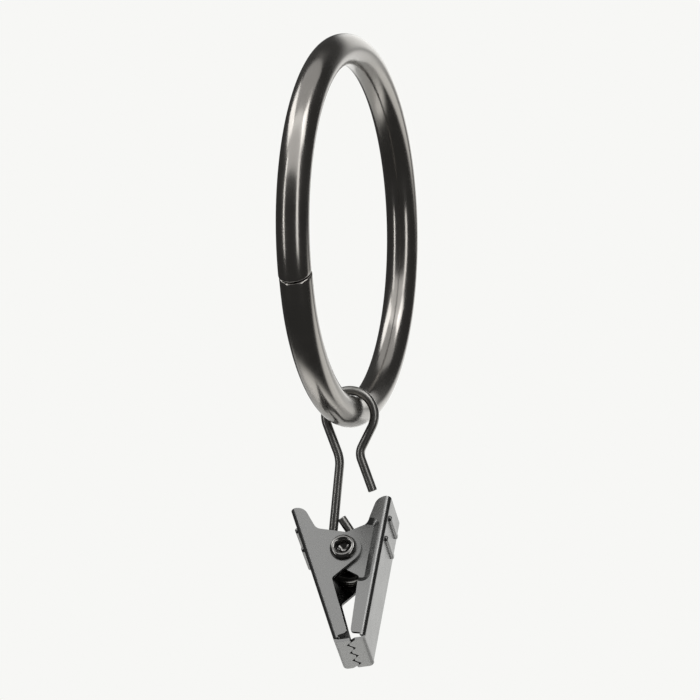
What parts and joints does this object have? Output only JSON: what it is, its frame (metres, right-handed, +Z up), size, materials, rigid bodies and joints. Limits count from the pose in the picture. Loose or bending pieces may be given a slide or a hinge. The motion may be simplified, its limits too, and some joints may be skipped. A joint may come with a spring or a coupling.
{
  "type": "curtain ring with clip",
  "caption": "Round steel curtain ring with a wire hook hung on it and a sprung toothed clip that grips the curtain's top edge.",
  "frame": {"origin": "centre of the ring, on the curtain rod's axis", "axes": "+X along the curtain rod, +Y away from the viewer, +Z up; the clip hangs below the ring"},
  "size_m": [0.0163, 0.0608, 0.0976],
  "materials": {
    "ring_enamel": "baked black-brown enamel on steel, semi-gloss",
    "hook_wire": "blackened steel wire, semi-gloss",
    "jaw_paint": "black nickel on pressed steel, satin",
    "rivet_steel": "black nickel, glossy",
    "spring_wire": "bare drawn spring wire"
  },
  "bodies": {
    "ring": {"ring": "ring_enamel"},
    "hook": {"hook": "hook_wire"},
    "clip": {"outer_jaw": "jaw_paint", "rivet": "rivet_steel", "spring": "spring_wire"},
    "inner_jaw": {"inner_jaw": "jaw_paint"}
  },
  "joints": [
    {"name": "hook_swing", "type": "hinge", "parent": "ring", "child": "hook", "pos_m": [0, 0, -0.0279], "axis": [0, 1, 0], "continuous": true},
    {"name": "clip_swing", "type": "hinge", "parent": "hook", "child": "clip", "pos_m": [-0.00025, 0.00002, -0.05113], "axis": [-0.0926, 0.8522, -0.515], "range_deg": [-4, 24]},
    {"name": "jaw_open", "type": "hinge", "parent": "clip", "child": "inner_jaw", "pos_m": [-0.00025, 0.00002, -0.05113], "axis": [0.0926, -0.8522, 0.515], "range_deg": [0, 20], "stiffness_Nm_per_rad": 0.05, "springref_deg": -28.65, "deforming": ["spring"]}
  ]
}
